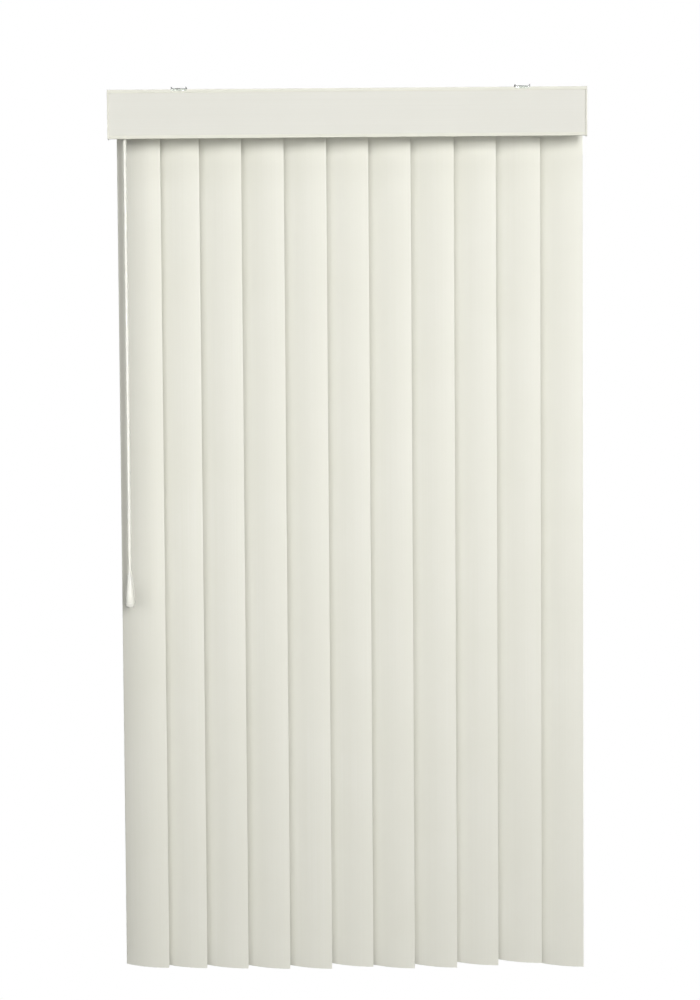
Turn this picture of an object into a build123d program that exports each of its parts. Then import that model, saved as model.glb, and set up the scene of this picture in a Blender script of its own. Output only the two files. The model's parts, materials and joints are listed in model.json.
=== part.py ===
"""Wand-operated vertical blind: an aluminium headrail with eleven geared carriers, eleven curved
PVC vanes, a channel valance with returns, and a hanging wand that tilts and draws the vanes.

The frame: X along the rail, -Y towards the room, Z up. The origin is the centre of the ceiling
brackets' screw holes, on the brackets' top faces. Millimetres and degrees throughout.
"""

import os
from math import asin, atan2, cos, degrees, pi, radians, sin, sqrt, tan

from build123d import *

# --- vanes ---------------------------------------------------------------------------------------
vane_width = 89.0  # across the chord
vane_thickness = 0.8
vane_bow = 6.0  # how far the middle stands out of the chord
vane_top_z = -60.0
vane_length = 1601.0
vane_trims = [-1, 0, 1, 2, 2.5, -1, 2.5, 1.5, -2.5, -6.5, 1]  # each vane's own cut, longer is +
closed_angle = 17.03  # between the rail and each vane's chord as it hangs
vane_slot_width = 12.0
vane_slot_height = 4.6
vane_slot_depth = 8.0  # from the vane's top edge to the slot's top edge

# --- where the carriers stand --------------------------------------------------------------------
first_stem_x = -396.5
stem_gaps = [73, 79, 80, 80, 79, 79.5, 81, 79, 83, 80]  # drawn out by hand, so a little uneven

# --- headrail ------------------------------------------------------------------------------------
rail_length = 872.0
rail_width = 44.0
rail_height = 27.0
rail_wall = 1.2
rail_lip = 2.0  # stands out of each side along the top
rail_slot = 18.0
screw_head_room = 3.0  # between the brackets' plates and the rail

# --- ceiling brackets ----------------------------------------------------------------------------
bracket_x = 250.0  # each side of the middle
bracket_length = 30.0
bracket_wall = 1.5
bracket_hook = 1.6
bracket_fit = 0.15
screw_spacing = 24.0
screw_hole_r = 2.25

# --- end caps ------------------------------------------------------------------------------------
cap_plate = 2.5
cap_rim = 0.8  # beyond the rail's outline
cap_plug = 8.0
cap_fit = 0.1

# --- tilt rod ------------------------------------------------------------------------------------
rod_flats = 4.6  # across the hexagon's flats
rod_journal_r = 2.2
rod_journal = 6.0
running_fit = 0.05  # radial, for every shaft that turns in a bore

# --- worm and wheel in every carrier -------------------------------------------------------------
gear_module = 1.0
wheel_teeth = 10
wheel_face = 3.0
worm_starts = 2
worm_length = 9.0
worm_pitch_r = 4.2
worm_root_r = 3.5
worm_tip_r = 4.9
worm_tooth_share = 0.30  # of the axial pitch, so that the wheel's straight teeth pass
thread_margin = 0.5  # plain sleeve beyond each end of the thread
wheel_addendum = 0.5
wheel_dedendum = 1.0
tooth_share = 0.38  # of the circular pitch, on the wheel and the spur gears
flank_angle = 20.0
tooth_seat = 0.4  # how deep a tooth is rooted in its blank

# --- spur train from the wand to the leading stem ------------------------------------------------
stem_gear_teeth = 37
idler_teeth = 28
wand_gear_teeth = 15
spur_addendum = 0.8
spur_dedendum = 1.15
spur_face = 4.0
spur_gap = 0.4  # above and below each gear

# --- carriers ------------------------------------------------------------------------------------
carrier_length = 15.0
carrier_front = 16.0  # before the stem
carrier_back = 18.0  # behind the stem
carrier_height = 19.0
carrier_glide = 0.2  # above the rail's flanges and beside its slot
carrier_keel = 2.4  # down through the rail's slot
carrier_corner = 1.0
gear_room = 0.5  # around the worm, the wheel and the rod
seat_gap = 0.1  # under the wheel, and at the worm's ends
wheel_floor = 8.0  # from the carrier's underside to the wheel's

# --- spacers that set the drawn-out gaps ----------------------------------------------------------
spacer_levels = 5  # the drawn-in strips pass over each other
spacer_thickness = 0.4
spacer_rise = 0.7  # from one level to the next
spacer_width = 7.0
spacer_root = 5.0  # the wider end that its carrier grips
spacer_overrun = 4.0  # past the next carrier's middle
spacer_window = 8.0
spacer_window_rim = 1.0  # of the carrier before the window
spacer_height = 8.0  # from the carrier's underside to the lowest strip

# --- stems and their hooks -----------------------------------------------------------------------
stem_r = 3.0
stem_bottom_z = -47.0
yoke_height = 4.0
yoke_width = 10.0
yoke_depth = 7.0
hook_leg = 1.6
hook_gap = 1.8
hook_leg_length = 21.0
hook_peg_height = 2.6
hook_peg_width = 9.0
hook_tip_gap = 0.25
hook_seat = 0.3  # between the peg and the slot that hangs on it

# --- arm that carries the wand beside the leading carrier ----------------------------------------
wand_offset_x = -15.9  # from the leading stem
arm_plate = 3.0
arm_end_r = 7.0
idler_pin_r = 2.0
idler_pin_head_r = 3.4
idler_pin_head = 1.2
wand_shaft_r = 2.5
wand_collar_r = 4.0
wand_collar = 1.2

# --- wand ----------------------------------------------------------------------------------------
eye_z = -54.0  # the upper pin's axis
eye_r = 4.2
eye_plate = 3.0
pin_r = 2.0
link_gap = 0.4
link_wall = 1.5
link_bridge = 2.4
link_step = 12.5  # from the upper pin's axis to the lower one
wand_r = 3.5
wand_head_drop = 9.0  # from the lower pin's axis to the rod's full round
grip_bottom_z = -963.0
grip_length = 62.0
grip_top_r = 4.9
grip_mid_r = 7.9
grip_mid_height = 32.0  # above the grip's bottom
grip_r = 9.0
grip_ring_r = 9.4
grip_ring = 2.2
grip_ring_height = 7.0  # above the grip's bottom
grip_bore = 45.0
grip_fit = 0.05

# --- valance -------------------------------------------------------------------------------------
valance_width = 883.0
valance_height = 89.6
valance_top_z = -5.0
valance_room = 5.2  # between the wand's arm and the valance
valance_wall = 1.2
valance_lip = 6.2  # how far each lip covers the insert
insert_thickness = 0.8
insert_fit = 0.1
return_depth = 14.0  # from the valance's front to the returns' back edges
corner_cover = 3.0  # the corner piece's face beside the insert
corner_wall = 0.8

# --- clear clips that hold the valance -----------------------------------------------------------
clip_xs = (-309.5, 322.5)  # snapped on by hand, so not quite even
clip_length = 28.0
clip_wall = 1.2
clip_rib = 2.6  # stiffens each end, standing up from the clip's top
clip_front_finger = 3.0
clip_back_finger = 12.0
clip_hold = 6.0  # how far each clip reaches back over the rail
clip_fit = 0.15

# --- places that follow from the sizes -----------------------------------------------------------
stem_xs = [first_stem_x + sum(stem_gaps[:place]) for place in range(len(stem_gaps) + 1)]
rail_top_z = -bracket_wall - screw_head_room
rail_bottom_z = rail_top_z - rail_height
flange_top_z = rail_bottom_z + rail_wall
carrier_bottom_z = flange_top_z + carrier_glide
wheel_pitch_r = gear_module * wheel_teeth / 2
worm_y = wheel_pitch_r + worm_pitch_r
wheel_z = carrier_bottom_z + wheel_floor  # the wheel's underside
worm_z = wheel_z + wheel_face / 2
axial_pitch = pi * gear_module
arm_top_z = carrier_bottom_z - carrier_keel
arm_bottom_z = arm_top_z - arm_plate
spur_z = arm_bottom_z - spur_gap - spur_face  # the spur gears' undersides
idler_offset = gear_module * (stem_gear_teeth + idler_teeth) / 2
wand_offset = idler_offset + gear_module * (idler_teeth + wand_gear_teeth) / 2
wand_offset_y = -sqrt(wand_offset**2 - wand_offset_x**2)
train_angle = degrees(atan2(wand_offset_y, wand_offset_x))
wand_x = stem_xs[0] + wand_offset_x
idler_x = stem_xs[0] + idler_offset * cos(radians(train_angle))
idler_y = idler_offset * sin(radians(train_angle))
vane_r = (vane_width / 2) ** 2 / (2 * vane_bow) + vane_bow / 2
vane_half_angle = asin(vane_width / 2 / vane_r)
hung_x = (cos(radians(closed_angle)), -sin(radians(closed_angle)), 0)  # along a vane's chord
valance_bottom_z = valance_top_z - valance_height
plate_y = wand_offset_y - arm_end_r - valance_room - valance_wall  # the valance's inner plate
insert_y = plate_y - insert_fit - insert_thickness
valance_front_y = insert_y - valance_wall
lower_pin_z = eye_z - link_step

os.makedirs("parts", exist_ok=True)


def gear_outline(teeth, addendum, dedendum, tooth_angle):
    """A toothed outline on the XY plane, with one tooth centred on tooth_angle."""
    pitch_r = gear_module * teeth / 2
    half_tooth = tooth_share * pi * gear_module / 2
    slope = tan(radians(flank_angle))
    depth = dedendum + tooth_seat
    with BuildSketch() as outline:
        Circle(pitch_r - dedendum)
        with PolarLocations(pitch_r, teeth, start_angle=tooth_angle):
            Polygon(
                (-depth, -half_tooth - dedendum * slope),
                (0, -half_tooth),
                (addendum, -half_tooth + addendum * slope),
                (addendum, half_tooth - addendum * slope),
                (0, half_tooth),
                (-depth, half_tooth + dedendum * slope),
                align=None,
            )
    return outline.sketch


# --- headrail: a slotted channel with lips along its top ------------------------------------------
with BuildPart() as headrail:
    with BuildSketch(Plane.YZ.offset(-rail_length / 2)):
        with Locations((0, rail_top_z)):
            Rectangle(rail_width, rail_height, align=(Align.CENTER, Align.MAX))
            Rectangle(rail_width + 2 * rail_lip, rail_wall, align=(Align.CENTER, Align.MAX))
        with Locations((0, rail_top_z - rail_wall)):
            Rectangle(
                rail_width - 2 * rail_wall,
                rail_height - 2 * rail_wall,
                align=(Align.CENTER, Align.MAX),
                mode=Mode.SUBTRACT,
            )
        with Locations((0, flange_top_z)):
            Rectangle(
                rail_slot, 2 * rail_wall, align=(Align.CENTER, Align.CENTER), mode=Mode.SUBTRACT
            )
    extrude(amount=rail_length)
headrail.part.label = "headrail"
export_step(headrail.part, "parts/headrail.step")

# --- ceiling brackets: a plate whose arms hook under the rail's lips ------------------------------
arm_y = rail_width / 2 + rail_lip + bracket_fit
hook_z = rail_top_z - rail_wall - bracket_fit
with BuildPart() as bracket:
    with BuildSketch(Plane.YZ.offset(-bracket_length / 2)):
        Rectangle(2 * (arm_y + bracket_wall), bracket_wall, align=(Align.CENTER, Align.MAX))
        for side in (-1, 1):
            with Locations((side * (arm_y + bracket_wall / 2), 0)):
                Rectangle(bracket_wall, -hook_z + bracket_wall, align=(Align.CENTER, Align.MAX))
            with Locations((side * (arm_y + bracket_wall - (bracket_wall + bracket_hook) / 2), hook_z)):
                Rectangle(
                    bracket_wall + bracket_hook, bracket_wall, align=(Align.CENTER, Align.MAX)
                )
    extrude(amount=bracket_length)
    with Locations((0, -screw_spacing / 2, 0), (0, screw_spacing / 2, 0)):
        Hole(radius=screw_hole_r)
    with BuildSketch(Plane.XY.offset(rail_top_z)):  # two pads that rest on the rail's top
        with GridLocations(bracket_length - bracket_wall, rail_width - bracket_wall, 2, 2):
            Rectangle(bracket_wall, bracket_wall)
    extrude(amount=screw_head_room)
for side, name in ((-1, "bracket_left"), (1, "bracket_right")):
    with BuildPart() as bracket_copy:
        with Locations((side * bracket_x, 0, 0)):
            add(bracket.part)
    bracket_copy.part.label = name
    export_step(bracket_copy.part, f"parts/{name}.step")

# --- end caps: a rimmed plate with a plug that carries the tilt rod's journal ---------------------
for side, name in ((-1, "end_cap_left"), (1, "end_cap_right")):
    with BuildPart() as end_cap:
        with BuildSketch(Plane.YZ.offset(side * rail_length / 2)):
            with Locations((0, rail_top_z - rail_height / 2)):
                RectangleRounded(rail_width + 2 * rail_lip, rail_height + 2 * cap_rim, 2 * cap_rim)
        extrude(amount=side * cap_plate)
        with BuildSketch(Plane.YZ.offset(side * rail_length / 2)):
            with Locations((0, rail_top_z - rail_height / 2)):
                Rectangle(
                    rail_width - 2 * (rail_wall + cap_fit), rail_height - 2 * (rail_wall + cap_fit)
                )
        extrude(amount=-side * cap_plug)
        with BuildSketch(Plane.YZ.offset(side * (rail_length / 2 - cap_plug))):
            with Locations((worm_y, worm_z)):
                Circle(rod_journal_r + running_fit)
        extrude(amount=side * (rod_journal + carrier_glide), mode=Mode.SUBTRACT)
    end_cap.part.label = name
    export_step(end_cap.part, f"parts/{name}.step")

# --- tilt rod: a hexagon with a round journal at each end ----------------------------------------
rod_hex_half = rail_length / 2 - cap_plug - carrier_glide
with BuildPart() as tilt_rod:
    with BuildSketch(Plane.YZ.offset(-rod_hex_half)):
        with Locations((worm_y, worm_z)):
            RegularPolygon(rod_flats / 2, 6, major_radius=False)
    extrude(amount=2 * rod_hex_half)
    for side in (-1, 1):
        with BuildSketch(Plane.YZ.offset(side * rod_hex_half)):
            with Locations((worm_y, worm_z)):
                Circle(rod_journal_r)
        extrude(amount=side * rod_journal)
tilt_rod.part.label = "tilt_rod"
export_step(tilt_rod.part, "parts/tilt_rod.step")

# --- worm: a two-start thread on a sleeve with a hexagon bore, along X at the origin --------------
thread_height = worm_length - axial_pitch * worm_tooth_share - 2 * thread_margin
thread_lead = worm_starts * axial_pitch
half_crest = worm_tooth_share * axial_pitch / 2
with BuildPart() as thread:
    with BuildLine() as thread_path:
        Helix(
            pitch=thread_lead,
            height=thread_height,
            radius=worm_root_r,
            center=(-thread_height / 2, 0, 0),
            direction=(1, 0, 0),
        )
    path_start = thread_path.line @ 0
    start_angle = degrees(atan2(path_start.Z, path_start.Y))
    radial = Vector(0, path_start.Y, path_start.Z).normalized()
    with BuildSketch(Plane(origin=path_start, x_dir=radial, z_dir=thread_path.line % 0)):
        Polygon(
            (-tooth_seat, -half_crest - half_crest / 2),
            (worm_tip_r - worm_root_r, -half_crest / 2),
            (worm_tip_r - worm_root_r, half_crest / 2),
            (-tooth_seat, half_crest + half_crest / 2),
            align=None,
        )
    sweep(is_frenet=True)
# Turned so that the wheel's rearmost tooth stands midway between two threads
worm_turn = 180 - start_angle - 360 * (thread_height + axial_pitch) / 2 / thread_lead
with BuildPart() as worm:
    with BuildSketch(Plane.YZ.offset(-worm_length / 2)):
        Circle(worm_root_r)
    extrude(amount=worm_length)
    for start in range(worm_starts):
        add(thread.part, rotation=(worm_turn + 360 / worm_starts * start, 0, 0))
    with BuildSketch(Plane.YZ.offset(-worm_length / 2)):
        RegularPolygon(rod_flats / 2 + running_fit, 6, major_radius=False)
    extrude(amount=worm_length, mode=Mode.SUBTRACT)
for place, stem_x in enumerate(stem_xs, start=1):
    with BuildPart() as worm_copy:
        with Locations((stem_x, worm_y, worm_z)):
            add(worm.part)
    worm_copy.part.label = f"worm_{place:02d}"
    export_step(worm_copy.part, f"parts/worm_{place:02d}.step")

# --- carrier: an open-topped gear case that glides on the rail's flanges, stem at the origin ------
with BuildPart() as case:
    with BuildSketch(Plane.XY.offset(carrier_bottom_z)):
        with Locations((0, (carrier_back - carrier_front) / 2)):
            RectangleRounded(carrier_length, carrier_front + carrier_back, carrier_corner)
    extrude(amount=carrier_height)
    with BuildSketch(Plane.XY.offset(carrier_bottom_z)):
        RectangleRounded(carrier_length, rail_slot - 2 * carrier_glide, carrier_corner)
    extrude(amount=-carrier_keel)
    with BuildSketch(Plane.XY.offset(wheel_z - seat_gap)):
        Circle(wheel_pitch_r + wheel_addendum + gear_room)
    extrude(amount=carrier_height, mode=Mode.SUBTRACT)
    with BuildSketch(Plane.XY.offset(worm_z - worm_tip_r - gear_room)):
        with Locations((0, worm_y)):
            Rectangle(worm_length + 2 * seat_gap, 2 * (worm_tip_r + gear_room))
    extrude(amount=carrier_height, mode=Mode.SUBTRACT)
    with BuildSketch(Plane.YZ.offset(-carrier_length)):
        with Locations((worm_y, worm_z)):
            Circle(rod_flats / sqrt(3) + gear_room / 2)
    extrude(amount=2 * carrier_length, mode=Mode.SUBTRACT)
    with BuildSketch(Plane.XY.offset(arm_top_z)):
        Circle(stem_r + running_fit)
    extrude(amount=wheel_z - arm_top_z, mode=Mode.SUBTRACT)
    with BuildSketch(Plane.XY.offset(carrier_bottom_z + spacer_height - spacer_rise + spacer_thickness)):
        with Locations((0, spacer_window_rim - carrier_front)):
            Rectangle(2 * carrier_length, spacer_window, align=(Align.CENTER, Align.MIN))
    extrude(amount=(spacer_levels + 1) * spacer_rise - spacer_thickness, mode=Mode.SUBTRACT)

# --- the leading carrier's arm, with the idler's pin and the wand shaft's bearing -----------------
with BuildPart() as arm:
    with BuildSketch(Plane.XY.offset(arm_bottom_z)):
        with Locations((wand_offset_x / 2, wand_offset_y / 2)):
            SlotCenterToCenter(wand_offset, 2 * arm_end_r, rotation=train_angle)
        Circle(stem_r + running_fit, mode=Mode.SUBTRACT)
        with Locations((wand_offset_x, wand_offset_y)):
            Circle(wand_shaft_r + running_fit, mode=Mode.SUBTRACT)
    extrude(amount=arm_plate)
    with BuildSketch(Plane.XY.offset(arm_bottom_z)):
        with Locations((idler_x - stem_xs[0], idler_y)):
            Circle(idler_pin_r)
    extrude(amount=-spur_face - 2 * spur_gap)
    with BuildSketch(Plane.XY.offset(spur_z - spur_gap)):
        with Locations((idler_x - stem_xs[0], idler_y)):
            Circle(idler_pin_head_r)
    extrude(amount=-idler_pin_head)

# --- carriers: the case, and from the second on a spacer strip that reaches the one before --------
for place, stem_x in enumerate(stem_xs):
    with BuildPart() as carrier:
        with Locations((stem_x, 0, 0)):
            add(case.part)
            if place == 0:
                add(arm.part)
        if place > 0:
            level = place % spacer_levels
            strip_y = spacer_window_rim - carrier_front + spacer_window / 2
            strip_length = stem_gaps[place - 1] + spacer_overrun
            with BuildSketch(Plane.XY.offset(carrier_bottom_z + spacer_height + level * spacer_rise)):
                with Locations((stem_x + spacer_root / 2, strip_y)):
                    Rectangle(strip_length, spacer_width, align=(Align.MAX, Align.CENTER))
                    Rectangle(spacer_root, spacer_window, align=(Align.MAX, Align.CENTER))
            extrude(amount=spacer_thickness)
    carrier.part.label = f"carrier_{place + 1:02d}"
    export_step(carrier.part, f"parts/carrier_{place + 1:02d}.step")

# --- stem: the wheel, its shaft and the two-legged hook that holds a vane, at the origin ----------
peg_top_z = vane_top_z - vane_slot_depth - hook_seat
yoke_bottom_z = stem_bottom_z - yoke_height
with BuildPart() as stem:
    with BuildSketch(Plane.XY.offset(wheel_z)):
        add(gear_outline(wheel_teeth, wheel_addendum, wheel_dedendum, 90))
    extrude(amount=wheel_face)
    with BuildSketch(Plane.XY.offset(stem_bottom_z)):
        Circle(stem_r)
    extrude(amount=wheel_z - stem_bottom_z)
    with BuildSketch(Plane((0, 0, yoke_bottom_z), x_dir=hung_x)):
        RectangleRounded(yoke_width, yoke_depth, carrier_corner)
    extrude(amount=yoke_height)
    with BuildSketch(Plane((0, 0, yoke_bottom_z), x_dir=hung_x)):
        for side in (-1, 1):
            with Locations((0, side * (hook_gap + hook_leg) / 2)):
                Rectangle(yoke_width, hook_leg)
    extrude(amount=-hook_leg_length)
    with BuildSketch(Plane((0, 0, peg_top_z), x_dir=hung_x)):
        with Locations((0, -hook_gap / 2)):
            Rectangle(hook_peg_width, hook_gap - hook_tip_gap, align=(Align.CENTER, Align.MIN))
    extrude(amount=-hook_peg_height)
for place, stem_x in enumerate(stem_xs, start=1):
    with BuildPart() as stem_copy:
        with Locations((stem_x, 0, 0)):
            add(stem.part)
        if place == 1:
            with BuildSketch(Plane.XY.offset(spur_z)):
                with Locations((stem_x, 0)):
                    add(gear_outline(stem_gear_teeth, spur_addendum, spur_dedendum, train_angle))
            extrude(amount=spur_face)
    stem_copy.part.label = f"stem_{place:02d}"
    export_step(stem_copy.part, f"parts/stem_{place:02d}.step")

# --- vanes: a shallow arc drawn down, with a slot for the hook's peg ------------------------------
for place, stem_x in enumerate(stem_xs):
    with BuildPart() as vane:
        with BuildSketch(Plane((stem_x, 0, vane_top_z), x_dir=hung_x)):
            with BuildLine():
                faces = [
                    ThreePointArc(
                        *[
                            (r * sin(turn), vane_r - r * cos(turn))
                            for turn in (-vane_half_angle, 0, vane_half_angle)
                        ]
                    )
                    for r in (vane_r - vane_thickness / 2, vane_r + vane_thickness / 2)
                ]
                Line(faces[0] @ 0, faces[1] @ 0)
                Line(faces[0] @ 1, faces[1] @ 1)
            make_face()
        extrude(amount=-vane_length - vane_trims[place])
        with BuildSketch(Plane((stem_x, 0, vane_top_z - vane_slot_depth), x_dir=hung_x)):
            Rectangle(vane_slot_width, yoke_depth)
        extrude(amount=-vane_slot_height, mode=Mode.SUBTRACT)
    vane.part.label = f"vane_{place + 1:02d}"
    export_step(vane.part, f"parts/vane_{place + 1:02d}.step")

# --- idler between the leading stem's gear and the wand's -----------------------------------------
with BuildPart() as idler_gear:
    with BuildSketch(Plane.XY.offset(spur_z)):
        with Locations((idler_x, idler_y)):
            idler_tooth = train_angle + 180 + 180 / idler_teeth
            add(gear_outline(idler_teeth, spur_addendum, spur_dedendum, idler_tooth))
            Circle(idler_pin_r + running_fit, mode=Mode.SUBTRACT)
    extrude(amount=spur_face)
idler_gear.part.label = "idler_gear"
export_step(idler_gear.part, "parts/idler_gear.step")

# --- wand hook: the wand's gear on a collared shaft that ends in an eye ---------------------------
with BuildPart() as wand_hook:
    with BuildSketch(Plane.XY.offset(spur_z)):
        with Locations((wand_x, wand_offset_y)):
            add(gear_outline(wand_gear_teeth, spur_addendum, spur_dedendum, train_angle + 180))
    extrude(amount=spur_face)
    shaft_bottom_z = eye_z + eye_r + link_gap
    with BuildSketch(Plane.XY.offset(shaft_bottom_z)):
        with Locations((wand_x, wand_offset_y)):
            Circle(wand_shaft_r)
    extrude(amount=arm_top_z + seat_gap - shaft_bottom_z)
    with BuildSketch(Plane.XY.offset(arm_top_z + seat_gap)):
        with Locations((wand_x, wand_offset_y)):
            Circle(wand_collar_r)
    extrude(amount=wand_collar)
    with BuildSketch(Plane.XZ.offset(-wand_offset_y)):
        with Locations((wand_x, eye_z)):
            Circle(eye_r)
        with Locations((wand_x, eye_z)):
            Rectangle(2 * wand_shaft_r, 2 * eye_r, align=(Align.CENTER, Align.MIN))
        with Locations((wand_x, eye_z)):
            Circle(pin_r + running_fit, mode=Mode.SUBTRACT)
    extrude(amount=eye_plate / 2, both=True)
wand_hook.part.label = "wand_hook"
export_step(wand_hook.part, "parts/wand_hook.step")

# --- wand link: a fork on the hook's eye, with a tongue for the wand's own fork -------------------
cheek = eye_plate / 2 + link_gap
across_y = Plane.XZ.offset(-wand_offset_y)
across_x = Plane.YZ.offset(wand_x)
bridge_top = eye_r + link_gap  # below each pin's axis
with BuildPart() as wand_link:
    for side in (-1, 1):
        with BuildSketch(across_y.offset(side * cheek)):
            with Locations((wand_x, eye_z)):
                Circle(eye_r)
                Rectangle(2 * eye_r, bridge_top + link_bridge, align=(Align.CENTER, Align.MAX))
        extrude(amount=side * link_wall)
    with BuildSketch(across_y):
        with Locations((wand_x, eye_z)):
            Circle(pin_r)
    extrude(amount=cheek + link_wall, both=True)
    with BuildSketch(across_y):
        with Locations((wand_x, eye_z - bridge_top)):
            Rectangle(2 * eye_r, link_bridge, align=(Align.CENTER, Align.MAX))
    extrude(amount=cheek + link_wall, both=True)
    with BuildSketch(across_x):
        with Locations((wand_offset_y, lower_pin_z)):
            Circle(eye_r)
            Rectangle(
                2 * (cheek + link_wall), link_step - bridge_top, align=(Align.CENTER, Align.MIN)
            )
            Circle(pin_r + running_fit, mode=Mode.SUBTRACT)
    extrude(amount=eye_plate / 2, both=True)
wand_link.part.label = "wand_link"
export_step(wand_link.part, "parts/wand_link.step")

# --- wand: a fork on the link's tongue, a ferrule and a long round rod ----------------------------
head_z = lower_pin_z - bridge_top - link_bridge
rod_end_z = grip_bottom_z + grip_length - grip_bore
with BuildPart() as wand:
    for side in (-1, 1):
        with BuildSketch(across_x.offset(side * cheek)):
            with Locations((wand_offset_y, lower_pin_z)):
                Circle(eye_r)
                Rectangle(2 * eye_r, bridge_top + link_bridge, align=(Align.CENTER, Align.MAX))
        extrude(amount=side * link_wall)
    with BuildSketch(across_x):
        with Locations((wand_offset_y, lower_pin_z)):
            Circle(pin_r)
    extrude(amount=cheek + link_wall, both=True)
    with BuildSketch(Plane.XY.offset(head_z + link_bridge)):
        with Locations((wand_x, wand_offset_y)):
            Rectangle(2 * (cheek + link_wall), 2 * eye_r)
    extrude(amount=-link_bridge)
    with BuildSketch(Plane.XY.offset(head_z)):
        with Locations((wand_x, wand_offset_y)):
            Circle(eye_r)
    with BuildSketch(Plane.XY.offset(head_z - wand_head_drop)):
        with Locations((wand_x, wand_offset_y)):
            Circle(wand_r)
    loft()
    with BuildSketch(Plane.XY.offset(head_z - wand_head_drop)):
        with Locations((wand_x, wand_offset_y)):
            Circle(wand_r)
    extrude(amount=rod_end_z - (head_z - wand_head_drop))
wand.part.label = "wand"
export_step(wand.part, "parts/wand.step")

# --- grip: a tapered handle with a ring above its rounded end -------------------------------------
ring_bottom = grip_ring_height
ring_top = grip_ring_height + grip_ring
with BuildPart() as wand_grip:
    with BuildSketch(Plane((wand_x, wand_offset_y, grip_bottom_z), x_dir=(1, 0, 0), z_dir=(0, -1, 0))):
        with BuildLine():
            Line((0, grip_length), (grip_top_r, grip_length))
            Line((grip_top_r, grip_length), (grip_mid_r, grip_mid_height))
            Line((grip_mid_r, grip_mid_height), (grip_r, ring_top))
            Line((grip_r, ring_top), (grip_ring_r, ring_top))
            Line((grip_ring_r, ring_top), (grip_ring_r, ring_bottom))
            Line((grip_ring_r, ring_bottom), (grip_r, ring_bottom))
            EllipticalCenterArc(
                (0, ring_bottom), grip_r, ring_bottom, start_angle=-90, arc_size=90
            )
            Line((0, 0), (0, grip_length))
        make_face()
    revolve(axis=Axis((wand_x, wand_offset_y, 0), (0, 0, 1)))
    with BuildSketch(Plane.XY.offset(rod_end_z)):
        with Locations((wand_x, wand_offset_y)):
            Circle(wand_r + grip_fit)
    extrude(amount=grip_bore, mode=Mode.SUBTRACT)
wand_grip.part.label = "wand_grip"
export_step(wand_grip.part, "parts/wand_grip.step")

# --- valance: a lipped channel, the flat strip that slides into it, and the returns ---------------
face_length = valance_width - 2 * valance_wall
with BuildPart() as valance_channel:
    with BuildSketch(Plane.YZ.offset(-face_length / 2)):
        with Locations((plate_y, valance_top_z)):
            Rectangle(valance_wall, valance_height, align=(Align.MIN, Align.MAX))
        for edge_z, upright in ((valance_top_z, Align.MAX), (valance_bottom_z, Align.MIN)):
            with Locations((valance_front_y, edge_z)):
                Rectangle(valance_wall, valance_lip, align=(Align.MIN, upright))
                Rectangle(plate_y - valance_front_y, valance_wall, align=(Align.MIN, upright))
    extrude(amount=face_length)
valance_channel.part.label = "valance_channel"
export_step(valance_channel.part, "parts/valance_channel.step")

with BuildPart() as valance_insert:
    with BuildSketch(Plane.YZ.offset(-face_length / 2)):
        with Locations((insert_y, valance_top_z - valance_height / 2)):
            Rectangle(
                insert_thickness,
                valance_height - 2 * (valance_wall + insert_fit),
                align=(Align.MIN, Align.CENTER),
            )
    extrude(amount=face_length)
valance_insert.part.label = "valance_insert"
export_step(valance_insert.part, "parts/valance_insert.step")

for side, name in ((-1, "valance_return_left"), (1, "valance_return_right")):
    inward = Align.MIN if side < 0 else Align.MAX
    with BuildPart() as valance_return:
        with BuildSketch(Plane.XY.offset(valance_bottom_z)):
            with Locations((side * valance_width / 2, valance_front_y - corner_wall)):
                Rectangle(valance_wall, return_depth, align=(inward, Align.MIN))
                Rectangle(corner_cover, corner_wall, align=(inward, Align.MIN))
        extrude(amount=valance_height)
    valance_return.part.label = name
    export_step(valance_return.part, f"parts/{name}.step")

# --- clear clips from the rail's front lip to the valance's top edge ------------------------------
clip_bottom_z = rail_top_z + clip_fit
clip_top_z = clip_bottom_z + clip_wall
finger_y = valance_front_y - clip_fit - clip_wall
rail_lip_y = -rail_width / 2 - rail_lip
under_lip_z = rail_top_z - rail_wall - clip_fit
with BuildPart() as valance_clips:
    for clip_x in clip_xs:
        with BuildSketch(Plane.YZ.offset(clip_x - clip_length / 2)):
            with Locations((finger_y, clip_top_z)):
                Rectangle(rail_lip_y + clip_hold - finger_y, clip_wall, align=(Align.MIN, Align.MAX))
                Rectangle(
                    clip_wall,
                    clip_top_z - valance_top_z + clip_front_finger,
                    align=(Align.MIN, Align.MAX),
                )
            with Locations((plate_y + valance_wall + clip_fit, clip_top_z)):
                Rectangle(
                    clip_wall,
                    clip_top_z - valance_top_z + clip_back_finger,
                    align=(Align.MIN, Align.MAX),
                )
            with Locations((rail_lip_y - clip_fit, clip_top_z)):
                Rectangle(
                    clip_wall, clip_top_z - under_lip_z + clip_wall, align=(Align.MAX, Align.MAX)
                )
            with Locations((rail_lip_y - clip_fit - clip_wall, under_lip_z)):
                Rectangle(clip_wall + rail_lip, clip_wall, align=(Align.MIN, Align.MAX))
        extrude(amount=clip_length)
        with BuildSketch(Plane.XY.offset(clip_top_z)):
            for end in (-1, 1):
                with Locations((clip_x + end * (clip_length - clip_wall) / 2, finger_y)):
                    Rectangle(
                        clip_wall,
                        rail_lip_y + clip_hold - finger_y,
                        align=(Align.CENTER, Align.MIN),
                    )
        extrude(amount=clip_rib)
valance_clips.part.label = "valance_clips"
export_step(valance_clips.part, "parts/valance_clips.step")
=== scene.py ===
"""A wand-operated vertical blind: curved PVC vanes under a channel valance, shown closed."""

import json
import math

import bmesh
import bpy
from mathutils import Matrix, Vector


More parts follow.
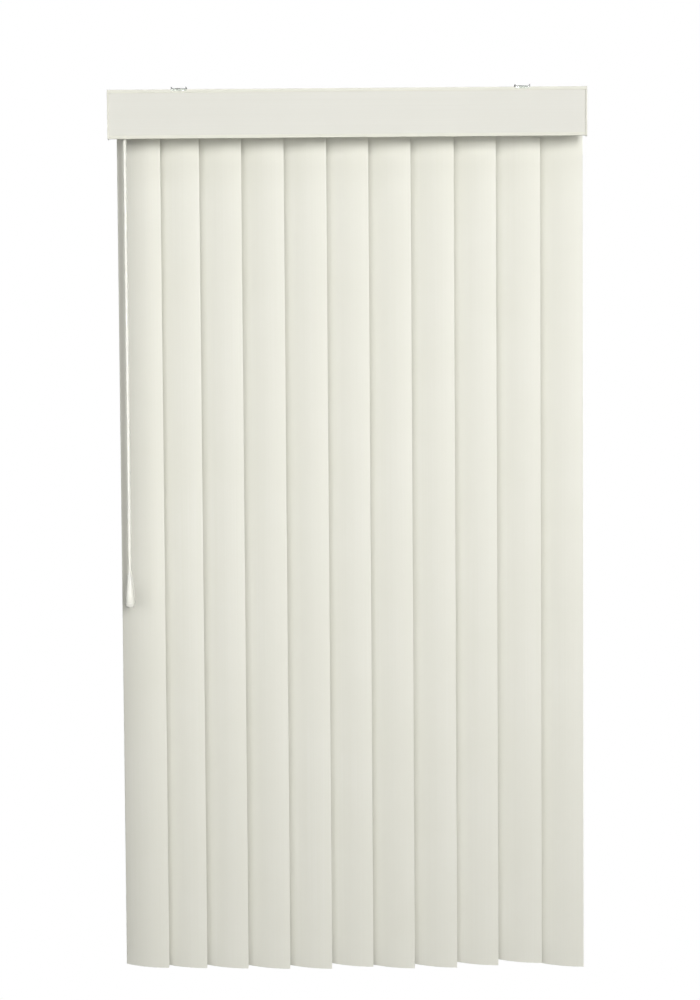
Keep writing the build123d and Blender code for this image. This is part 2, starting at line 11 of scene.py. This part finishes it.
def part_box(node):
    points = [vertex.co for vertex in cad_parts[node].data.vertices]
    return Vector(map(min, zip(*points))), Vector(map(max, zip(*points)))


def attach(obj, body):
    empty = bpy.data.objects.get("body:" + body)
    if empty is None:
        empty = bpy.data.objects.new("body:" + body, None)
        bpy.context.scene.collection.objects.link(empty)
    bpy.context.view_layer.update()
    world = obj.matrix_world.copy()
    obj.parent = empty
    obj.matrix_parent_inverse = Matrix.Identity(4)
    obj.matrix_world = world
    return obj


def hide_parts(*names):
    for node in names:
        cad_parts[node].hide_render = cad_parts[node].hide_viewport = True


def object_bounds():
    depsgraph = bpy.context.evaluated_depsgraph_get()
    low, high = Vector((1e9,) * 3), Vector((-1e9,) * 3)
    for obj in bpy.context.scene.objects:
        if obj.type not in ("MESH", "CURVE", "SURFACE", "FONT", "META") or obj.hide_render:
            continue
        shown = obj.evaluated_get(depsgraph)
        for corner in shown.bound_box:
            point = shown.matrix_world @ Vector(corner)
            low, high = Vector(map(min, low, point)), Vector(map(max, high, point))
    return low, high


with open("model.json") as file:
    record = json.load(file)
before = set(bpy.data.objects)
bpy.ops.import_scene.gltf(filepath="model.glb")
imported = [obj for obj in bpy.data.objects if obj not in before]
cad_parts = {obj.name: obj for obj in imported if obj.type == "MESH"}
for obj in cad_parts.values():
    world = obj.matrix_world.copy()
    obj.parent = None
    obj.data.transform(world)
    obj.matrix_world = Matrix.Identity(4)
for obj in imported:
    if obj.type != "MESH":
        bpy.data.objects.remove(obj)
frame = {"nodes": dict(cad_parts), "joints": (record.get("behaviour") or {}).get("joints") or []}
cad_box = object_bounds()

MM = 0.001

# --- the blind's own sizes, in metres -------------------------------------------------------------
VANE_WIDTH = 89 * MM
VANE_THICKNESS = 0.8 * MM
VANE_BOW = 6 * MM
VANE_CLOSED = math.radians(17.03)
VANE_COLUMNS = 28
VANE_ROWS = 24
VANE_EDGE = 3 * MM  # each long edge turns back a little more than the rest
VANE_EDGE_R = 14 * MM
VANE_EDGE_STEPS = 4
SLOT_WIDTH = 12 * MM
SLOT_HEIGHT = 4.6 * MM
SLOT_DEPTH = 8 * MM
LIP_HEIGHT = 6.2 * MM
LIP_WALL = 1.2 * MM
LIP_EDGE = 0.35 * MM  # each lip thins to this, so it lies close on the strip
INSERT_THICKNESS = 0.8 * MM
GRIP_LENGTH = 62 * MM
GRIP_TOP_R = 4.9 * MM
GRIP_MID_R = 7.9 * MM
GRIP_MID_Z = 32 * MM
GRIP_R = 9 * MM
GRIP_RING_R = 9.4 * MM
GRIP_RING_Z = 8.1 * MM
GRIP_SOCKET = 45 * MM
GRIP_SOCKET_FIT = 0.05 * MM
WAND_R = 3.5 * MM
FLOOR_GAP = 90 * MM  # the lower ends hang this far above the floor
FLOOR_SIZE = 12.0

JOINTS = {joint["name"]: joint for joint in frame["joints"]}
PLACES = [f"{number:02d}" for number in range(1, 12)]


# --- materials ------------------------------------------------------------------------------------
def linear(hex_colour):
    """An sRGB hex colour as linear RGBA."""
    channels = [int(hex_colour[start : start + 2], 16) / 255 for start in (1, 3, 5)]
    return [c / 12.92 if c <= 0.04045 else ((c + 0.055) / 1.055) ** 2.4 for c in channels] + [1.0]


def add_node(tree, kind, inputs=None, **settings):
    """Adds a node with its settings; inputs maps sockets to values or to sockets that feed them."""
    node = tree.nodes.new(kind)
    for name, value in settings.items():
        setattr(node, name, value)
    for name, value in (inputs or {}).items():
        if isinstance(value, bpy.types.NodeSocket):
            tree.links.new(value, node.inputs[name])
        else:
            node.inputs[name].default_value = value
    return node


def new_material(name):
    """An empty node material with its output, its shader and its Object coordinates."""
    material = bpy.data.materials.new(name)
    material.use_nodes = True
    tree = material.node_tree
    tree.nodes.clear()
    shader = add_node(tree, "ShaderNodeBsdfPrincipled")
    add_node(tree, "ShaderNodeOutputMaterial", {"Surface": shader.outputs["BSDF"]})
    place = add_node(tree, "ShaderNodeTexCoord").outputs["Object"]
    return material, tree, shader, place


def streaked_pvc(name, pale, shade, along, roughness):
    """Extruded PVC: long faint die streaks along its length, and a fine embossed grain."""
    material, tree, shader, place = new_material(name)
    streak_width = 2.5 * MM
    streak_length = 600 * MM
    stretch = [1 / streak_width] * 3
    stretch[along] = 1 / streak_length
    streak_place = add_node(tree, "ShaderNodeMapping", {"Vector": place, "Scale": stretch})
    streaks = add_node(
        tree,
        "ShaderNodeTexNoise",
        {"Vector": streak_place.outputs["Vector"], "Scale": 1.0, "Detail": 3.0, "Roughness": 0.6},
    )
    # Slow changes of tone from one stretch of the extrusion to the next, about 150 mm across
    clouds = add_node(
        tree, "ShaderNodeTexNoise", {"Vector": place, "Scale": 1 / (150 * MM), "Detail": 2.0}
    )
    mottle = add_node(
        tree,
        "ShaderNodeMath",
        {0: streaks.outputs["Fac"], 1: clouds.outputs["Fac"]},
        operation="MULTIPLY_ADD",
    )
    mottle.inputs[2].default_value = 0.1
    tone = add_node(tree, "ShaderNodeValToRGB", {"Fac": mottle.outputs["Value"]})
    tone.color_ramp.elements[0].position = 0.15
    tone.color_ramp.elements[0].color = linear(shade)
    tone.color_ramp.elements[1].position = 0.6
    tone.color_ramp.elements[1].color = linear(pale)
    tree.links.new(tone.outputs["Color"], shader.inputs["Base Color"])
    # The real emboss is about 0.4 mm, too fine to show, so it is drawn 1.4 mm across
    grain = add_node(
        tree, "ShaderNodeTexNoise", {"Vector": place, "Scale": 1 / (1.4 * MM), "Detail": 2.0}
    )
    grain_relief = add_node(
        tree,
        "ShaderNodeBump",
        {"Height": grain.outputs["Fac"], "Strength": 0.10, "Distance": 0.05 * MM},
    )
    relief = add_node(
        tree,
        "ShaderNodeBump",
        {
            "Height": streaks.outputs["Fac"],
            "Strength": 0.35,
            "Distance": 0.12 * MM,
            "Normal": grain_relief.outputs["Normal"],
        },
    )
    tree.links.new(relief.outputs["Normal"], shader.inputs["Normal"])
    sheen_patches = add_node(
        tree,
        "ShaderNodeMapRange",
        {
            "Value": streaks.outputs["Fac"],
            "To Min": roughness - 0.06,
            "To Max": roughness + 0.06,
        },
    )
    tree.links.new(sheen_patches.outputs["Result"], shader.inputs["Roughness"])
    shader.inputs["IOR"].default_value = 1.53
    shader.inputs["Specular IOR Level"].default_value = 0.4
    return material


def moulded_plastic(name, colour, roughness, grain_mm=0.9, relief_mm=0.02, milky=0.0):
    """Injection-moulded plastic: even colour, with the fine spark-eroded grain of its mould."""
    material, tree, shader, place = new_material(name)
    grain = add_node(
        tree, "ShaderNodeTexNoise", {"Vector": place, "Scale": 1 / (grain_mm * MM), "Detail": 3.0}
    )
    relief = add_node(
        tree,
        "ShaderNodeBump",
        {"Height": grain.outputs["Fac"], "Strength": 0.3, "Distance": relief_mm * MM},
    )
    tree.links.new(relief.outputs["Normal"], shader.inputs["Normal"])
    wear = add_node(
        tree,
        "ShaderNodeMapRange",
        {"Value": grain.outputs["Fac"], "To Min": roughness - 0.05, "To Max": roughness + 0.05},
    )
    tree.links.new(wear.outputs["Result"], shader.inputs["Roughness"])
    flow = add_node(tree, "ShaderNodeTexNoise", {"Vector": place, "Scale": 1 / (12 * MM)})
    tone = add_node(tree, "ShaderNodeValToRGB", {"Fac": flow.outputs["Fac"]})
    deep = [channel * 0.93 for channel in linear(colour)[:3]] + [1.0]
    tone.color_ramp.elements[0].position = 0.3
    tone.color_ramp.elements[0].color = deep
    tone.color_ramp.elements[1].position = 0.7
    tone.color_ramp.elements[1].color = linear(colour)
    tree.links.new(tone.outputs["Color"], shader.inputs["Base Color"])
    shader.inputs["IOR"].default_value = 1.5
    # A milky plastic lets light in a little way, so its shaded sides stay pale
    shader.inputs["Subsurface Weight"].default_value = milky
    shader.inputs["Subsurface Radius"].default_value = (1.0, 1.0, 1.0)
    shader.inputs["Subsurface Scale"].default_value = 4 * MM
    return material


def drawn_metal(name, pale, dull, roughness, metallic):
    """Metal drawn or coated along X, with fine lines the same way and slow dull patches."""
    material, tree, shader, place = new_material(name)
    line_width = 0.6 * MM
    line_length = 120 * MM
    line_place = add_node(
        tree,
        "ShaderNodeMapping",
        {"Vector": place, "Scale": [1 / line_length, 1 / line_width, 1 / line_width]},
    )
    lines = add_node(
        tree,
        "ShaderNodeTexNoise",
        {"Vector": line_place.outputs["Vector"], "Scale": 1.0, "Detail": 3.0},
    )
    tone = add_node(tree, "ShaderNodeValToRGB", {"Fac": lines.outputs["Fac"]})
    tone.color_ramp.elements[0].position = 0.3
    tone.color_ramp.elements[0].color = linear(dull)
    tone.color_ramp.elements[1].position = 0.7
    tone.color_ramp.elements[1].color = linear(pale)
    tree.links.new(tone.outputs["Color"], shader.inputs["Base Color"])
    polish = add_node(
        tree,
        "ShaderNodeMapRange",
        {"Value": lines.outputs["Fac"], "To Min": roughness - 0.07, "To Max": roughness + 0.07},
    )
    tree.links.new(polish.outputs["Result"], shader.inputs["Roughness"])
    relief = add_node(
        tree,
        "ShaderNodeBump",
        {"Height": lines.outputs["Fac"], "Strength": 0.25, "Distance": 0.02 * MM},
    )
    tree.links.new(relief.outputs["Normal"], shader.inputs["Normal"])
    shader.inputs["Metallic"].default_value = metallic
    return material


def clear_polycarbonate():
    """Clear moulded polycarbonate: see-through, with bright and dark edges and faint flow lines."""
    material, tree, shader, place = new_material("clear_polycarbonate")
    flow = add_node(tree, "ShaderNodeTexNoise", {"Vector": place, "Scale": 1 / (8 * MM)})
    relief = add_node(
        tree,
        "ShaderNodeBump",
        {"Height": flow.outputs["Fac"], "Strength": 0.2, "Distance": 0.1 * MM},
    )
    tree.links.new(relief.outputs["Normal"], shader.inputs["Normal"])
    shader.inputs["Base Color"].default_value = linear("#F2F6F5")
    shader.inputs["Roughness"].default_value = 0.06
    shader.inputs["IOR"].default_value = 1.58
    shader.inputs["Transmission Weight"].default_value = 1.0
    return material


# Matt warm white with a soft low sheen and faint upright streaks
VANE_PVC = streaked_pvc("extruded_pvc_vane", "#ECECE5", "#E8E8DF", along=2, roughness=0.50)
# The same plastic, a little greyer and streaked along the rail
VALANCE_PVC = streaked_pvc("extruded_pvc_valance", "#DFDFDA", "#DBDBD5", along=0, roughness=0.55)
# Slightly creamier and glossier, so that the lips show as two pale lines
CHANNEL_PVC = streaked_pvc("extruded_pvc_channel", "#E4E4DB", "#E0E0D6", along=0, roughness=0.50)
# Bright milky white with a narrow gloss line down the rod
WAND_ACRYLIC = moulded_plastic(
    "gloss_white_acrylic", "#F4F4EE", roughness=0.3, relief_mm=0.006, milky=1.0
)
# Waxy plain whites: satin carriers, paler and slicker gears, and warmer duller worms
CARRIER_ACETAL = moulded_plastic("white_acetal_carrier", "#EFEFEA", roughness=0.42)
GEAR_ACETAL = moulded_plastic("natural_acetal_gear", "#F3F2EC", roughness=0.38)
WORM_NYLON = moulded_plastic("ivory_nylon_worm", "#EAE6D6", roughness=0.45)
# Off-white with a coarser moulded grain that breaks up any shine
CAP_ABS = moulded_plastic("textured_abs_cap", "#E8E7DE", roughness=0.50, relief_mm=0.04)
# Smooth satin white paint over drawn metal, whose lines just show through
RAIL_ENAMEL = drawn_metal("enamelled_aluminium", "#E9E8E0", "#E3E2D8", roughness=0.38, metallic=0.0)
# Bare bright grey metal with fine lines along it, and a duller bluish plated grey
ROD_ALUMINIUM = drawn_metal("drawn_aluminium", "#D4D6D8", "#C2C5C8", roughness=0.32, metallic=1.0)
BRACKET_ZINC = drawn_metal("zinc_plated_steel", "#C9CCCE", "#A9AEB2", roughness=0.36, metallic=1.0)
# Nearly invisible but for its dark edges and small highlights
CLIP_CLEAR = clear_polycarbonate()


def finish_node(node_name, material):
    """Gives a CAD node its material."""
    mesh = frame["nodes"][node_name].data
    mesh.materials.clear()
    mesh.materials.append(material)


for place in PLACES:
    finish_node(f"carrier_{place}", CARRIER_ACETAL)
    finish_node(f"stem_{place}", GEAR_ACETAL)
    finish_node(f"worm_{place}", WORM_NYLON)
for node_name in ("idler_gear", "wand_hook"):
    finish_node(node_name, GEAR_ACETAL)
for node_name in ("wand", "wand_link"):
    finish_node(node_name, WAND_ACRYLIC)
finish_node("tilt_rod", ROD_ALUMINIUM)


# --- building pieces ------------------------------------------------------------------------------
def make_piece(name, shape, material, body, replaced, bevel=0.0, segments=2):
    """Turns a bmesh into a piece that rides on a body and stands for CAD nodes."""
    bmesh.ops.remove_doubles(shape, verts=shape.verts, dist=0.001 * MM)
    bmesh.ops.recalc_face_normals(shape, faces=shape.faces)
    mesh = bpy.data.meshes.new(name)
    shape.to_mesh(mesh)
    shape.free()
    piece = bpy.data.objects.new(name, mesh)
    bpy.context.scene.collection.objects.link(piece)
    mesh.materials.append(material)
    if bevel:
        rounding = piece.modifiers.new("rounding", "BEVEL")
        rounding.width = bevel
        rounding.segments = segments
        rounding.limit_method = "ANGLE"
        rounding.angle_limit = math.radians(40)
        rounding.harden_normals = True
    for polygon in mesh.polygons:
        polygon.use_smooth = True
    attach(piece, body)
    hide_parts(*replaced)
    return piece


def in_fixed_order(shape):
    """The same shape with its faces in a set order, since extruding makes them in a chance one."""
    shape.verts.index_update()
    rings = []
    for face in shape.faces:
        ring = [corner.index for corner in face.verts]
        first = ring.index(min(ring))
        rings.append(ring[first:] + ring[:first])
    ordered = bmesh.new()
    corners = [ordered.verts.new(corner.co) for corner in shape.verts]
    for ring in sorted(rings):
        ordered.faces.new([corners[index] for index in ring])
    shape.free()
    return ordered


def extruded_bar(outline, start_x, end_x):
    """A bar along X with the (y, z) outline as its section."""
    bar = bmesh.new()
    corners = [bar.verts.new((start_x, y, z)) for y, z in outline]
    section = bar.faces.new(corners)
    sweep = bmesh.ops.extrude_face_region(bar, geom=[section])
    moved = [item for item in sweep["geom"] if isinstance(item, bmesh.types.BMVert)]
    bmesh.ops.translate(bar, verts=moved, vec=(end_x - start_x, 0, 0))
    return in_fixed_order(bar)


def softened_copy(node_name, material, body, bevel):
    """A CAD node's shape with its flat faces joined and its edges rounded."""
    shape = bmesh.new()
    shape.from_mesh(frame["nodes"][node_name].data)
    bmesh.ops.remove_doubles(shape, verts=shape.verts, dist=0.005 * MM)
    bmesh.ops.dissolve_limit(
        shape, angle_limit=math.radians(0.5), verts=shape.verts, edges=shape.edges
    )
    return make_piece(f"{node_name}_finished", shape, material, body, [node_name], bevel)


# --- vanes: a shallow arc of PVC with a punched slot ----------------------------------------------
VANE_R = (VANE_WIDTH / 2) ** 2 / (2 * VANE_BOW) + VANE_BOW / 2


def vane_shape(top_z, bottom_z, centre_x):
    """A flat strip with its slot cut out, bent to its arc, thickened, and turned to its angle."""
    strip = bmesh.new()
    arc_length = 2 * VANE_R * math.asin(VANE_WIDTH / 2 / VANE_R)
    bmesh.ops.create_grid(strip, x_segments=VANE_COLUMNS, y_segments=VANE_ROWS, size=0.5)
    slot_top = top_z - SLOT_DEPTH
    for vertex in strip.verts:
        across, up = vertex.co.x, vertex.co.y + 0.5
        vertex.co = Vector((across * arc_length, 0, bottom_z + up * (top_z - bottom_z)))
    cuts = [((side * SLOT_WIDTH / 2, 0, 0), (1, 0, 0)) for side in (-1, 1)]
    cuts += [((0, 0, z), (0, 0, 1)) for z in (slot_top, slot_top - SLOT_HEIGHT)]
    edge_start = arc_length / 2 - VANE_EDGE
    cuts += [
        ((side * (edge_start + step * VANE_EDGE / VANE_EDGE_STEPS), 0, 0), (1, 0, 0))
        for side in (-1, 1)
        for step in range(VANE_EDGE_STEPS)
    ]
    for point, normal in cuts:
        bmesh.ops.bisect_plane(
            strip,
            geom=strip.verts[:] + strip.edges[:] + strip.faces[:],
            plane_co=point,
            plane_no=normal,
        )
    inside = [
        face
        for face in strip.faces
        if abs(face.calc_center_median().x) < SLOT_WIDTH / 2
        and slot_top - SLOT_HEIGHT < face.calc_center_median().z < slot_top
    ]
    bmesh.ops.delete(strip, geom=inside, context="FACES")
    for vertex in strip.verts:
        turn = vertex.co.x / VANE_R
        turned_back = max(abs(vertex.co.x) - edge_start, 0) ** 2 / (2 * VANE_EDGE_R)
        vertex.co.x = VANE_R * math.sin(turn)
        vertex.co.y = VANE_R * (1 - math.cos(turn)) - VANE_THICKNESS / 2 + turned_back
    bmesh.ops.recalc_face_normals(strip, faces=strip.faces)
    if sum(face.normal.y for face in strip.faces) > 0:
        bmesh.ops.reverse_faces(strip, faces=strip.faces)
    bmesh.ops.solidify(strip, geom=strip.faces[:], thickness=VANE_THICKNESS)
    bmesh.ops.rotate(
        strip, verts=strip.verts, cent=(0, 0, 0), matrix=Matrix.Rotation(-VANE_CLOSED, 3, "Z")
    )
    bmesh.ops.translate(strip, verts=strip.verts, vec=(centre_x, 0, 0))
    return in_fixed_order(strip)


for place in PLACES:
    low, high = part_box(f"vane_{place}")
    stem_x = JOINTS[f"vane_{place}_tilt"]["pos_m"][0]
    make_piece(
        f"pvc_vane_{place}",
        vane_shape(high[2], low[2], stem_x),
        VANE_PVC,
        f"vane_{place}",
        [f"vane_{place}"],
        bevel=0.18 * MM,
    )

# --- valance: a lipped channel, the strip inside it, and the returns ------------------------------
channel_low, channel_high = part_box("valance_channel")
front_y, back_y = channel_low[1], channel_high[1]
bottom_z, top_z = channel_low[2], channel_high[2]
inner_y = back_y - LIP_WALL
channel_outline = [
    (front_y, top_z),
    (back_y, top_z),
    (back_y, bottom_z),
    (front_y, bottom_z),
    (front_y, bottom_z + LIP_HEIGHT * 0.6),
    (front_y + LIP_WALL - LIP_EDGE, bottom_z + LIP_HEIGHT),
    (front_y + LIP_WALL, bottom_z + LIP_HEIGHT),
    (front_y + LIP_WALL, bottom_z + LIP_WALL),
    (inner_y, bottom_z + LIP_WALL),
    (inner_y, top_z - LIP_WALL),
    (front_y + LIP_WALL, top_z - LIP_WALL),
    (front_y + LIP_WALL, top_z - LIP_HEIGHT),
    (front_y + LIP_WALL - LIP_EDGE, top_z - LIP_HEIGHT),
    (front_y, top_z - LIP_HEIGHT * 0.6),
]
make_piece(
    "valance_channel_lips",
    extruded_bar(channel_outline, channel_low[0], channel_high[0]),
    CHANNEL_PVC,
    "rail",
    ["valance_channel"],
    bevel=0.45 * MM,
    segments=3,
)

insert_low, insert_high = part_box("valance_insert")
insert_outline = [
    (insert_low[1], insert_high[2]),
    (insert_high[1], insert_high[2]),
    (insert_high[1], insert_low[2]),
    (insert_low[1], insert_low[2]),
]
make_piece(
    "valance_strip",
    extruded_bar(insert_outline, insert_low[0], insert_high[0]),
    VALANCE_PVC,
    "rail",
    ["valance_insert"],
    bevel=0.15 * MM,
)

for side in ("left", "right"):
    softened_copy(f"valance_return_{side}", CHANNEL_PVC, "rail", 0.35 * MM)

# --- headrail, its caps and brackets, and the clear clips -----------------------------------------
softened_copy("headrail", RAIL_ENAMEL, "rail", 0.2 * MM)
for side in ("left", "right"):
    softened_copy(f"end_cap_{side}", CAP_ABS, "rail", 0.4 * MM)
    softened_copy(f"bracket_{side}", BRACKET_ZINC, "rail", 0.2 * MM)
softened_copy("valance_clips", CLIP_CLEAR, "rail", 0.15 * MM)


# --- wand grip: turned taper with a ring above its rounded end ------------------------------------
def grip_shape(centre_x, centre_y, bottom_z):
    """The grip's profile spun round the wand's axis, with the rod's socket open at the top."""
    profile = [
        (0, 0),
        (GRIP_R * 0.5, 0.45 * MM),
        (GRIP_R * 0.8, 1.8 * MM),
        (GRIP_R * 0.95, 3.8 * MM),
        (GRIP_R, 6.4 * MM),
        (GRIP_R, GRIP_RING_Z - 1.3 * MM),
        (GRIP_RING_R, GRIP_RING_Z - 0.9 * MM),
        (GRIP_RING_R, GRIP_RING_Z + 0.9 * MM),
        (GRIP_R, GRIP_RING_Z + 1.3 * MM),
        (GRIP_R * 0.985, GRIP_MID_Z * 0.5),
        (GRIP_R * 0.95, GRIP_MID_Z * 0.74),
        (GRIP_MID_R, GRIP_MID_Z),
        (GRIP_TOP_R * 0.45 + GRIP_MID_R * 0.55, GRIP_LENGTH * 0.45 + GRIP_MID_Z * 0.55),
        (GRIP_TOP_R * 0.8 + GRIP_MID_R * 0.2, GRIP_LENGTH * 0.8 + GRIP_MID_Z * 0.2),
        (GRIP_TOP_R, GRIP_LENGTH - 0.7 * MM),
        (GRIP_TOP_R * 0.92, GRIP_LENGTH),
        (WAND_R + GRIP_SOCKET_FIT, GRIP_LENGTH),
        (WAND_R + GRIP_SOCKET_FIT, GRIP_LENGTH - GRIP_SOCKET),
        (0, GRIP_LENGTH - GRIP_SOCKET),
    ]
    grip = bmesh.new()
    corners = [grip.verts.new((radius, 0, height)) for radius, height in profile]
    edges = [grip.edges.new(pair) for pair in zip(corners, corners[1:])]
    bmesh.ops.spin(
        grip,
        geom=corners + edges,
        cent=(0, 0, 0),
        axis=(0, 0, 1),
        angle=2 * math.pi,
        steps=48,
        use_merge=True,
    )
    bmesh.ops.translate(grip, verts=grip.verts, vec=(centre_x, centre_y, bottom_z))
    return in_fixed_order(grip)


wand_axis = JOINTS["wand_turn"]["pos_m"]
grip_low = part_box("wand_grip")[0]
make_piece(
    "turned_grip",
    grip_shape(wand_axis[0], wand_axis[1], grip_low[2]),
    WAND_ACRYLIC,
    "wand",
    ["wand_grip"],
    bevel=0.12 * MM,
)

# --- floor, light and camera ----------------------------------------------------------------------
floor_shape = bmesh.new()
bmesh.ops.create_grid(floor_shape, x_segments=1, y_segments=1, size=FLOOR_SIZE)
floor_mesh = bpy.data.meshes.new("studio_floor")
floor_shape.to_mesh(floor_mesh)
floor_shape.free()
floor = bpy.data.objects.new("studio_floor", floor_mesh)
bpy.context.scene.collection.objects.link(floor)
floor.location = (0, 0, cad_box[0][2] - FLOOR_GAP)
paper = bpy.data.materials.new("white_studio_paper")
paper.use_nodes = True
paper.node_tree.nodes.clear()
glow = add_node(paper.node_tree, "ShaderNodeEmission", {"Color": (1, 1, 1, 1), "Strength": 1.0})
add_node(paper.node_tree, "ShaderNodeOutputMaterial", {"Surface": glow.outputs["Emission"]})
floor_mesh.materials.append(paper)
floor.visible_diffuse = False
floor.visible_glossy = False

world = bpy.data.worlds.new("studio")
bpy.context.scene.world = world
world.use_nodes = True
sky = world.node_tree
sky.nodes.clear()
# Dim in front of the blind and bright behind it, as in front of a lit white backdrop
way = add_node(sky, "ShaderNodeTexCoord").outputs["Generated"]
back = add_node(sky, "ShaderNodeSeparateXYZ", {"Vector": way}).outputs["Y"]
strength = add_node(
    sky,
    "ShaderNodeMapRange",
    {"Value": back, "From Min": 0.4, "From Max": 0.9, "To Min": 0.012, "To Max": 0.16},
    interpolation_type="SMOOTHSTEP",
)
fill = add_node(
    sky,
    "ShaderNodeBackground",
    {"Color": linear("#FFFEFA"), "Strength": strength.outputs["Result"]},
)
paper_white = add_node(sky, "ShaderNodeBackground", {"Color": (1, 1, 1, 1), "Strength": 1.0})
path = add_node(sky, "ShaderNodeLightPath")
# The white is seen straight and through the clear clips
looks = add_node(
    sky,
    "ShaderNodeMath",
    {0: path.outputs["Is Camera Ray"], 1: path.outputs["Is Transmission Ray"]},
    operation="MAXIMUM",
)
seen = add_node(
    sky,
    "ShaderNodeMixShader",
    {
        0: looks.outputs["Value"],
        1: fill.outputs["Background"],
        2: paper_white.outputs["Background"],
    },
)
add_node(sky, "ShaderNodeOutputWorld", {"Surface": seen.outputs["Shader"]})


def area_light(name, place, target, width, height, power, colour):
    """A rectangular soft box at place, facing target."""
    light = bpy.data.lights.new(name, "AREA")
    light.shape = "RECTANGLE"
    light.size = width
    light.size_y = height
    light.energy = power
    light.color = linear(colour)[:3]
    lamp = bpy.data.objects.new(name, light)
    bpy.context.scene.collection.objects.link(lamp)
    lamp.location = place
    facing = Vector(target) - Vector(place)
    lamp.rotation_mode = "QUATERNION"
    lamp.rotation_quaternion = facing.to_track_quat("-Z", "Y")
    return lamp


# A tall narrow soft box far to the right gives the wand and the valance their shadows. It and the
# next one are turned past the blind, so that their light falls evenly from vane to vane
area_light("key_strip", (1.75, -7.9, 0.65), (-3.0, 0, 0.4), 0.7, 2.6, 308, "#FFFEFA")
area_light("right_wash", (3.5, -6.0, 0.4), (-3.0, 0, 0.0), 2.4, 2.6, 92, "#FFFEFA")
area_light("left_wide", (-1.2, -3.4, -0.45), (-0.3, 0, -0.5), 3.0, 1.6, 43, "#FFFEFA")
area_light("near_front", (0.35, -2.3, -0.6), (0.1, 0, -0.6), 2.4, 0.7, 7.5, "#FFFEFA")
# Hidden from the vanes' top ends by the valance
area_light("overhead", (0, -2.2, 2.0), (0, 0, -0.7), 1.5, 0.8, 9, "#FFFFFF")
# From behind and the right, where the vanes' overlaps keep it off their fronts
area_light("back_wash", (2.6, 3.2, 0.3), (0, 0, -0.8), 1.6, 1.6, 90, "#FFFFFF")

camera_data = bpy.data.cameras.new("camera")
camera = bpy.data.objects.new("camera", camera_data)
bpy.context.scene.collection.objects.link(camera)
bpy.context.scene.camera = camera
camera_data.lens = 56.93
camera_data.sensor_width = 36
camera.location = (0.014, -3.0, -0.651)
yaw, pitch, roll = (math.radians(angle) for angle in (-0.263, 2.184, -0.397))
ahead = Vector(
    (math.sin(yaw) * math.cos(pitch), math.cos(yaw) * math.cos(pitch), -math.sin(pitch))
)
level = Vector((math.cos(yaw), -math.sin(yaw), 0))
upright = level.cross(ahead)
right = math.cos(roll) * level + math.sin(roll) * upright
up = -math.sin(roll) * level + math.cos(roll) * upright
camera.rotation_mode = "QUATERNION"
camera.rotation_quaternion = Matrix((right, up, -ahead)).transposed().to_quaternion()

scene = bpy.context.scene
scene.view_settings.view_transform = "Standard"
scene.view_settings.look = "None"
